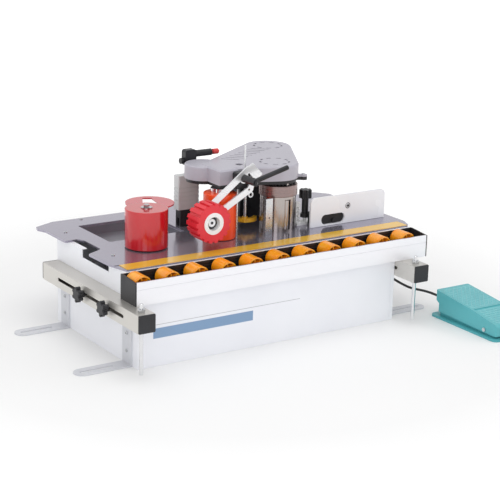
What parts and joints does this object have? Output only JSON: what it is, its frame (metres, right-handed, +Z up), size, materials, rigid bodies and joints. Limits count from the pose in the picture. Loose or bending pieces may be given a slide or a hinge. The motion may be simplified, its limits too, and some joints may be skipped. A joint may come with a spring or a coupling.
{
  "type": "edge banding machine",
  "caption": "Bench edge banding machine: white sheet case and table, roller track on sliding arms, press and feed rollers, glue pot under a belt drive head, hold-down wheel, fence, pedal.",
  "frame": {"origin": "middle of the underside of the case, on the bench or floor", "axes": "+Z up; +X along the roller track to the infeed end, the right-hand side seen from the operator; -Y towards the operator"},
  "size_m": [1.0439, 0.733, 0.43],
  "materials": {
    "case_paint": "white powder coat, satin",
    "bracket_paint": "white powder coat, satin",
    "fastener_steel": "zinc plated steel",
    "table_alloy": "smooth lavender grey anodised plate",
    "edge_strip": "yellow wear strip",
    "tray_steel": "plain sheet",
    "tube_alloy": "satin champagne extrusion",
    "black_plastic": "moulded, slightly grained",
    "track_alloy": "bright satin extrusion",
    "roller_orange": "moulded orange plastic",
    "polished_steel": "polished plated steel",
    "press_red": "glossy red polyurethane",
    "guard_red": "red enamel",
    "feed_red": "orange-red rubber",
    "pot_steel": "polished turned steel",
    "collar_alloy": "mauve-brown anodised",
    "cast_base": "black painted casting",
    "cover_paint": "grey-lilac painted casting",
    "motor_black": "black painted casting",
    "pulley_alloy": "turned",
    "belt_rubber": "woven-backed rubber belt",
    "bracket_black": "black oxide steel",
    "arm_steel": "bright satin steel",
    "wheel_red": "red rubber with moulded lugs",
    "hub_white": "white acetal",
    "fence_white": "satin white",
    "guide_white": "white moulded plastic",
    "hook_yellow": "amber yellow paint",
    "cutter_alloy": "bead blasted alloy",
    "button_red": "red cap",
    "pedal_teal": "teal enamelled casting",
    "spring_steel": "spring wire",
    "cord_black": "black flexible sheath"
  },
  "bodies": {
    "case": {"body_shell": "case_paint", "front_panel": "case_paint", "bottom_plate": "case_paint", "foot_brackets": "bracket_paint", "steel_fasteners": "fastener_steel", "table_plate": "table_alloy", "table_edge_strip": "edge_strip", "reel_tray": "tray_steel", "press_guard": "guard_red", "steel_posts": "fastener_steel", "glue_pot": "pot_steel", "glue_collar": "collar_alloy", "head_base": "cast_base", "head_cover": "cover_paint", "drive_motor": "motor_black", "drive_belts": "belt_rubber", "hold_bracket": "bracket_black", "fence_block": "bracket_black", "guide_block": "guide_white", "tape_hook": "hook_yellow", "cutter_body": "cutter_alloy", "cutter_fittings": "black_plastic", "pedal_base": "pedal_teal", "pedal_spring": "spring_steel", "pedal_cord": "cord_black", "cable_glands": "black_plastic"},
    "track_frame": {"arm_tubes": "tube_alloy", "end_caps": "black_plastic", "roller_track": "track_alloy", "track_steelwork": "fastener_steel"},
    "feed_drive": {"feed_roller": "feed_red", "feed_spindle": "polished_steel"},
    "hold_wheel_set": {"hold_wheel": "wheel_red", "hold_hub": "hub_white"},
    "press_roller_body": {"press_roller": "press_red"},
    "glue_roller_body": {"glue_roller": "pot_steel"},
    "motor_pulley_body": {"motor_pulley": "pulley_alloy"},
    "hold_arm_body": {"hold_arm": "arm_steel"},
    "hold_handle_body": {"hold_handle": "black_plastic"},
    "fence_plate_body": {"fence_plate": "fence_white"},
    "guide_knob_body": {"guide_knob": "black_plastic"},
    "cutter_button_body": {"cutter_button": "button_red"},
    "pedal_treadle_body": {"pedal_treadle": "pedal_teal"},
    "leg_left_body": {"leg_left": "polished_steel"},
    "leg_right_body": {"leg_right": "polished_steel"},
    "clamp_knob_left_front_body": {"clamp_knob_left_front": "black_plastic"},
    "clamp_knob_left_rear_body": {"clamp_knob_left_rear": "black_plastic"},
    "clamp_knob_right_front_body": {"clamp_knob_right_front": "black_plastic"},
    "clamp_knob_right_rear_body": {"clamp_knob_right_rear": "black_plastic"},
    "track_roller_01_body": {"track_roller_01": "roller_orange"},
    "track_roller_02_body": {"track_roller_02": "roller_orange"},
    "track_roller_03_body": {"track_roller_03": "roller_orange"},
    "track_roller_04_body": {"track_roller_04": "roller_orange"},
    "track_roller_05_body": {"track_roller_05": "roller_orange"},
    "track_roller_06_body": {"track_roller_06": "roller_orange"},
    "track_roller_07_body": {"track_roller_07": "roller_orange"},
    "track_roller_08_body": {"track_roller_08": "roller_orange"},
    "track_roller_09_body": {"track_roller_09": "roller_orange"},
    "track_roller_10_body": {"track_roller_10": "roller_orange"},
    "track_roller_11_body": {"track_roller_11": "roller_orange"}
  },
  "joints": [
    {"name": "track_extend", "type": "slide", "parent": "case", "child": "track_frame", "axis": [0, -1, 0], "range_m": [0, 0.118]},
    {"name": "track_roller_01_spin", "type": "hinge", "parent": "track_frame", "child": "track_roller_01_body", "pos_m": [-0.338, -0.174, 0.191], "axis": [0, 1, 0], "continuous": true},
    {"name": "track_roller_02_spin", "type": "hinge", "parent": "track_frame", "child": "track_roller_02_body", "pos_m": [-0.2662, -0.174, 0.191], "axis": [0, 1, 0], "continuous": true},
    {"name": "track_roller_03_spin", "type": "hinge", "parent": "track_frame", "child": "track_roller_03_body", "pos_m": [-0.1944, -0.174, 0.191], "axis": [0, 1, 0], "continuous": true},
    {"name": "track_roller_04_spin", "type": "hinge", "parent": "track_frame", "child": "track_roller_04_body", "pos_m": [-0.1226, -0.174, 0.191], "axis": [0, 1, 0], "continuous": true},
    {"name": "track_roller_05_spin", "type": "hinge", "parent": "track_frame", "child": "track_roller_05_body", "pos_m": [-0.0508, -0.174, 0.191], "axis": [0, 1, 0], "continuous": true},
    {"name": "track_roller_06_spin", "type": "hinge", "parent": "track_frame", "child": "track_roller_06_body", "pos_m": [0.021, -0.174, 0.191], "axis": [0, 1, 0], "continuous": true},
    {"name": "track_roller_07_spin", "type": "hinge", "parent": "track_frame", "child": "track_roller_07_body", "pos_m": [0.0928, -0.174, 0.191], "axis": [0, 1, 0], "continuous": true},
    {"name": "track_roller_08_spin", "type": "hinge", "parent": "track_frame", "child": "track_roller_08_body", "pos_m": [0.1646, -0.174, 0.191], "axis": [0, 1, 0], "continuous": true},
    {"name": "track_roller_09_spin", "type": "hinge", "parent": "track_frame", "child": "track_roller_09_body", "pos_m": [0.2364, -0.174, 0.191], "axis": [0, 1, 0], "continuous": true},
    {"name": "track_roller_10_spin", "type": "hinge", "parent": "track_frame", "child": "track_roller_10_body", "pos_m": [0.3082, -0.174, 0.191], "axis": [0, 1, 0], "continuous": true},
    {"name": "track_roller_11_spin", "type": "hinge", "parent": "track_frame", "child": "track_roller_11_body", "pos_m": [0.38, -0.174, 0.191], "axis": [0, 1, 0], "continuous": true},
    {"name": "leg_left_height", "type": "slide", "parent": "track_frame", "child": "leg_left_body", "axis": [0, 0, -1], "range_m": [-0.03, 0.01]},
    {"name": "clamp_left_front_turn", "type": "hinge", "parent": "case", "child": "clamp_knob_left_front_body", "pos_m": [-0.3683, -0.13, 0.13], "axis": [-1, 0, 0], "range_deg": [0, 360]},
    {"name": "clamp_left_rear_turn", "type": "hinge", "parent": "case", "child": "clamp_knob_left_rear_body", "pos_m": [-0.3683, -0.017, 0.13], "axis": [-1, 0, 0], "range_deg": [0, 360]},
    {"name": "leg_right_height", "type": "slide", "parent": "track_frame", "child": "leg_right_body", "axis": [0, 0, -1], "range_m": [-0.03, 0.01]},
    {"name": "clamp_right_front_turn", "type": "hinge", "parent": "case", "child": "clamp_knob_right_front_body", "pos_m": [0.3683, -0.13, 0.13], "axis": [1, 0, 0], "range_deg": [0, 360]},
    {"name": "clamp_right_rear_turn", "type": "hinge", "parent": "case", "child": "clamp_knob_right_rear_body", "pos_m": [0.3683, -0.017, 0.13], "axis": [1, 0, 0], "range_deg": [0, 360]},
    {"name": "press_roller_spin", "type": "hinge", "parent": "case", "child": "press_roller_body", "pos_m": [-0.221, -0.002, 0.257], "axis": [0, 0, 1], "continuous": true},
    {"name": "feed_spin", "type": "hinge", "parent": "case", "child": "feed_drive", "pos_m": [-0.034, -0.013, 0.267], "axis": [0, 0, 1], "continuous": true},
    {"name": "motor_spin", "type": "hinge", "parent": "case", "child": "motor_pulley_body", "pos_m": [0.207, 0.151, 0.335], "axis": [0, 0, 1], "continuous": true},
    {"name": "glue_spin", "type": "hinge", "parent": "case", "child": "glue_roller_body", "pos_m": [0.131, -0.043, 0.25], "axis": [0, 0, 1], "continuous": true},
    {"name": "hold_arm_lift", "type": "hinge", "parent": "case", "child": "hold_arm_body", "pos_m": [0, -0.0595, 0.357], "axis": [0, 1, 0], "range_deg": [-8, 25]},
    {"name": "hold_wheel_spin", "type": "hinge", "parent": "hold_arm_body", "child": "hold_wheel_set", "pos_m": [-0.109, -0.086, 0.275], "axis": [0, 1, 0], "continuous": true},
    {"name": "hold_handle_turn", "type": "hinge", "parent": "case", "child": "hold_handle_body", "pos_m": [0, -0.087, 0.357], "axis": [0, 1, 0], "range_deg": [-25, 60]},
    {"name": "fence_slide", "type": "slide", "parent": "case", "child": "fence_plate_body", "axis": [1, 0, 0], "range_m": [-0.021, 0.03]},
    {"name": "guide_knob_turn", "type": "hinge", "parent": "case", "child": "guide_knob_body", "pos_m": [0.214, -0.005, 0.25], "axis": [0, 0, 1], "range_deg": [0, 360]},
    {"name": "cutter_press", "type": "slide", "parent": "case", "child": "cutter_button_body", "axis": [-1, 0, 0], "range_m": [0, 0.004], "stiffness_N_per_m": 400, "springref_m": -0.002},
    {"name": "pedal_press", "type": "hinge", "parent": "case", "child": "pedal_treadle_body", "pos_m": [0.507, -0.395, 0.017], "axis": [-1, 0, 0], "range_deg": [0, 3.1], "stiffness_Nm_per_rad": 25, "springref_deg": -3.44, "deforming": ["pedal_spring"]}
  ],
  "couplings": [
    {"joint": "motor_spin", "follows": "feed_spin", "ratio": 0.75},
    {"joint": "glue_spin", "follows": "feed_spin", "ratio": 0.78947}
  ]
}
